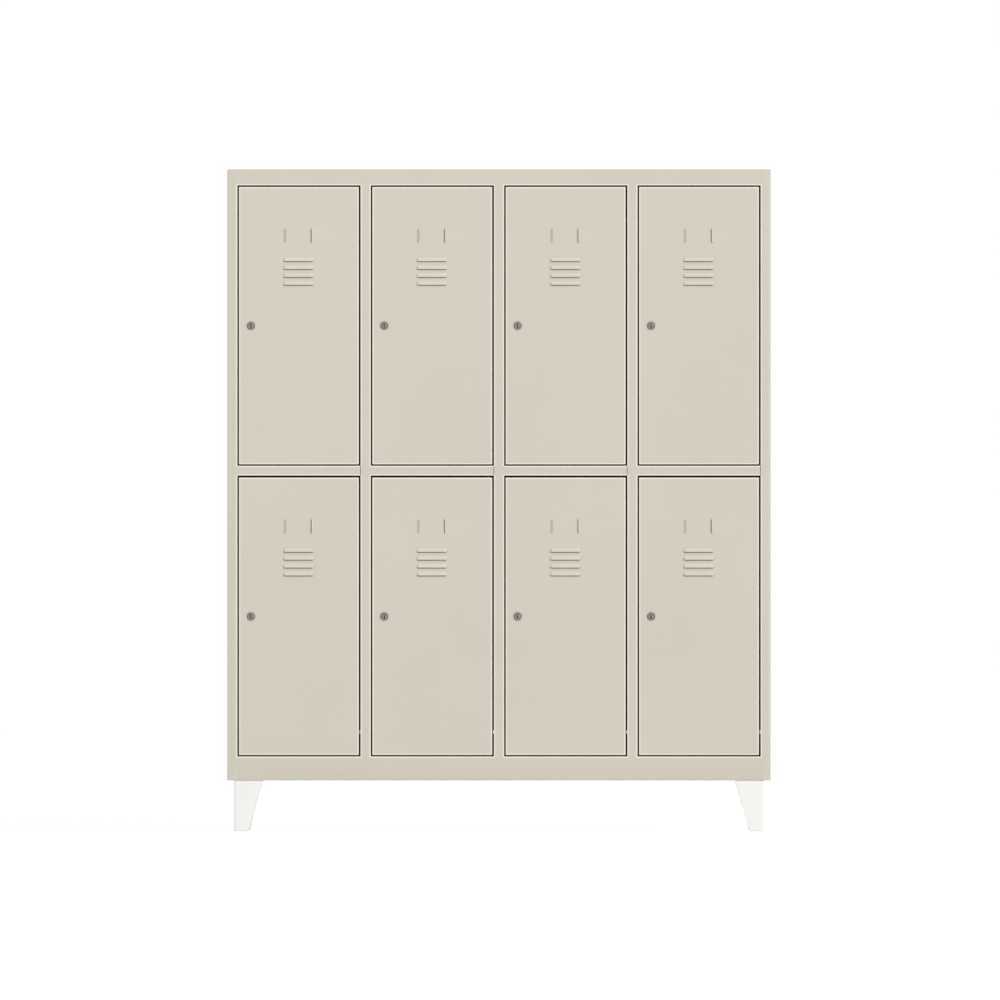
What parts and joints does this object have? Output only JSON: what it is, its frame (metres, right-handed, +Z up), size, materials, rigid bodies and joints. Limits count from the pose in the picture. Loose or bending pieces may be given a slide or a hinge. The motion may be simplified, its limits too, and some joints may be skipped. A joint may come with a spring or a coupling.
{
  "type": "locker cabinet",
  "caption": "Tall sheet-steel locker cabinet on four tapered legs: hinged doors with louvres, name-card lips and cam locks over shelved lockers with coat rails.",
  "frame": {"origin": "on the floor, under the centre of the 1600 x 500 mm footprint of the body", "axes": "+Z up; -Y out of the doors, so the front face is y = -0.25; +X to the right when facing the doors"},
  "size_m": [1.6, 0.504, 1.95],
  "materials": {
    "body_paint": "warm light grey powder coat, satin with a fine orange peel",
    "door_paint": "warm light grey powder coat, satin with a fine orange peel",
    "leg_paint": "white powder coat, satin",
    "zinc_plate": "bright zinc plate",
    "nickel_plate": "satin nickel plate",
    "lock_plug": "brushed nickel plate"
  },
  "bodies": {
    "cabinet": {"left_side_panel": "body_paint", "right_side_panel": "body_paint", "back_panel": "body_paint", "top_panel": "body_paint", "base_panel": "body_paint", "divider_1": "body_paint", "divider_2": "body_paint", "divider_3": "body_paint", "shelf_1": "body_paint", "shelf_2": "body_paint", "shelf_3": "body_paint", "shelf_4": "body_paint", "hinge_rod_1": "zinc_plate", "hinge_rod_2": "zinc_plate", "hinge_rod_3": "zinc_plate", "hinge_rod_4": "zinc_plate", "leg_front_left": "leg_paint", "leg_front_right": "leg_paint", "leg_rear_left": "leg_paint", "leg_rear_right": "leg_paint", "coat_rail_upper_1": "zinc_plate", "coat_rail_upper_2": "zinc_plate", "coat_rail_upper_3": "zinc_plate", "coat_rail_upper_4": "zinc_plate", "coat_rail_lower_1": "zinc_plate", "coat_rail_lower_2": "zinc_plate", "coat_rail_lower_3": "zinc_plate", "coat_rail_lower_4": "zinc_plate"},
    "door_upper_1": {"door_upper_1": "door_paint", "lock_housing_upper_1": "nickel_plate"},
    "lock_upper_1": {"lock_plug_upper_1": "lock_plug", "lock_cam_upper_1": "zinc_plate"},
    "door_upper_2": {"door_upper_2": "door_paint", "lock_housing_upper_2": "nickel_plate"},
    "lock_upper_2": {"lock_plug_upper_2": "lock_plug", "lock_cam_upper_2": "zinc_plate"},
    "door_upper_3": {"door_upper_3": "door_paint", "lock_housing_upper_3": "nickel_plate"},
    "lock_upper_3": {"lock_plug_upper_3": "lock_plug", "lock_cam_upper_3": "zinc_plate"},
    "door_upper_4": {"door_upper_4": "door_paint", "lock_housing_upper_4": "nickel_plate"},
    "lock_upper_4": {"lock_plug_upper_4": "lock_plug", "lock_cam_upper_4": "zinc_plate"},
    "door_lower_1": {"door_lower_1": "door_paint", "lock_housing_lower_1": "nickel_plate"},
    "lock_lower_1": {"lock_plug_lower_1": "lock_plug", "lock_cam_lower_1": "zinc_plate"},
    "door_lower_2": {"door_lower_2": "door_paint", "lock_housing_lower_2": "nickel_plate"},
    "lock_lower_2": {"lock_plug_lower_2": "lock_plug", "lock_cam_lower_2": "zinc_plate"},
    "door_lower_3": {"door_lower_3": "door_paint", "lock_housing_lower_3": "nickel_plate"},
    "lock_lower_3": {"lock_plug_lower_3": "lock_plug", "lock_cam_lower_3": "zinc_plate"},
    "door_lower_4": {"door_lower_4": "door_paint", "lock_housing_lower_4": "nickel_plate"},
    "lock_lower_4": {"lock_plug_lower_4": "lock_plug", "lock_cam_lower_4": "zinc_plate"}
  },
  "joints": [
    {"name": "door_upper_1_hinge", "type": "hinge", "parent": "cabinet", "child": "door_upper_1", "pos_m": [-0.42535, -0.242, 1.48935], "axis": [0, 0, 1], "range_deg": [0, 105]},
    {"name": "lock_upper_1_turn", "type": "hinge", "parent": "door_upper_1", "child": "lock_upper_1", "pos_m": [-0.7305, -0.25, 1.48935], "axis": [0, 1, 0], "range_deg": [0, 90]},
    {"name": "door_upper_2_hinge", "type": "hinge", "parent": "cabinet", "child": "door_upper_2", "pos_m": [-0.0326, -0.242, 1.48935], "axis": [0, 0, 1], "range_deg": [0, 105]},
    {"name": "lock_upper_2_turn", "type": "hinge", "parent": "door_upper_2", "child": "lock_upper_2", "pos_m": [-0.33775, -0.25, 1.48935], "axis": [0, 1, 0], "range_deg": [0, 90]},
    {"name": "door_upper_3_hinge", "type": "hinge", "parent": "cabinet", "child": "door_upper_3", "pos_m": [0.36015, -0.242, 1.48935], "axis": [0, 0, 1], "range_deg": [0, 105]},
    {"name": "lock_upper_3_turn", "type": "hinge", "parent": "door_upper_3", "child": "lock_upper_3", "pos_m": [0.055, -0.25, 1.48935], "axis": [0, 1, 0], "range_deg": [0, 90]},
    {"name": "door_upper_4_hinge", "type": "hinge", "parent": "cabinet", "child": "door_upper_4", "pos_m": [0.7529, -0.242, 1.48935], "axis": [0, 0, 1], "range_deg": [0, 105]},
    {"name": "lock_upper_4_turn", "type": "hinge", "parent": "door_upper_4", "child": "lock_upper_4", "pos_m": [0.44775, -0.25, 1.48935], "axis": [0, 1, 0], "range_deg": [0, 90]},
    {"name": "door_lower_1_hinge", "type": "hinge", "parent": "cabinet", "child": "door_lower_1", "pos_m": [-0.42535, -0.242, 0.63335], "axis": [0, 0, 1], "range_deg": [0, 105]},
    {"name": "lock_lower_1_turn", "type": "hinge", "parent": "door_lower_1", "child": "lock_lower_1", "pos_m": [-0.7305, -0.25, 0.63335], "axis": [0, 1, 0], "range_deg": [0, 90]},
    {"name": "door_lower_2_hinge", "type": "hinge", "parent": "cabinet", "child": "door_lower_2", "pos_m": [-0.0326, -0.242, 0.63335], "axis": [0, 0, 1], "range_deg": [0, 105]},
    {"name": "lock_lower_2_turn", "type": "hinge", "parent": "door_lower_2", "child": "lock_lower_2", "pos_m": [-0.33775, -0.25, 0.63335], "axis": [0, 1, 0], "range_deg": [0, 90]},
    {"name": "door_lower_3_hinge", "type": "hinge", "parent": "cabinet", "child": "door_lower_3", "pos_m": [0.36015, -0.242, 0.63335], "axis": [0, 0, 1], "range_deg": [0, 105]},
    {"name": "lock_lower_3_turn", "type": "hinge", "parent": "door_lower_3", "child": "lock_lower_3", "pos_m": [0.055, -0.25, 0.63335], "axis": [0, 1, 0], "range_deg": [0, 90]},
    {"name": "door_lower_4_hinge", "type": "hinge", "parent": "cabinet", "child": "door_lower_4", "pos_m": [0.7529, -0.242, 0.63335], "axis": [0, 0, 1], "range_deg": [0, 105]},
    {"name": "lock_lower_4_turn", "type": "hinge", "parent": "door_lower_4", "child": "lock_lower_4", "pos_m": [0.44775, -0.25, 0.63335], "axis": [0, 1, 0], "range_deg": [0, 90]}
  ]
}
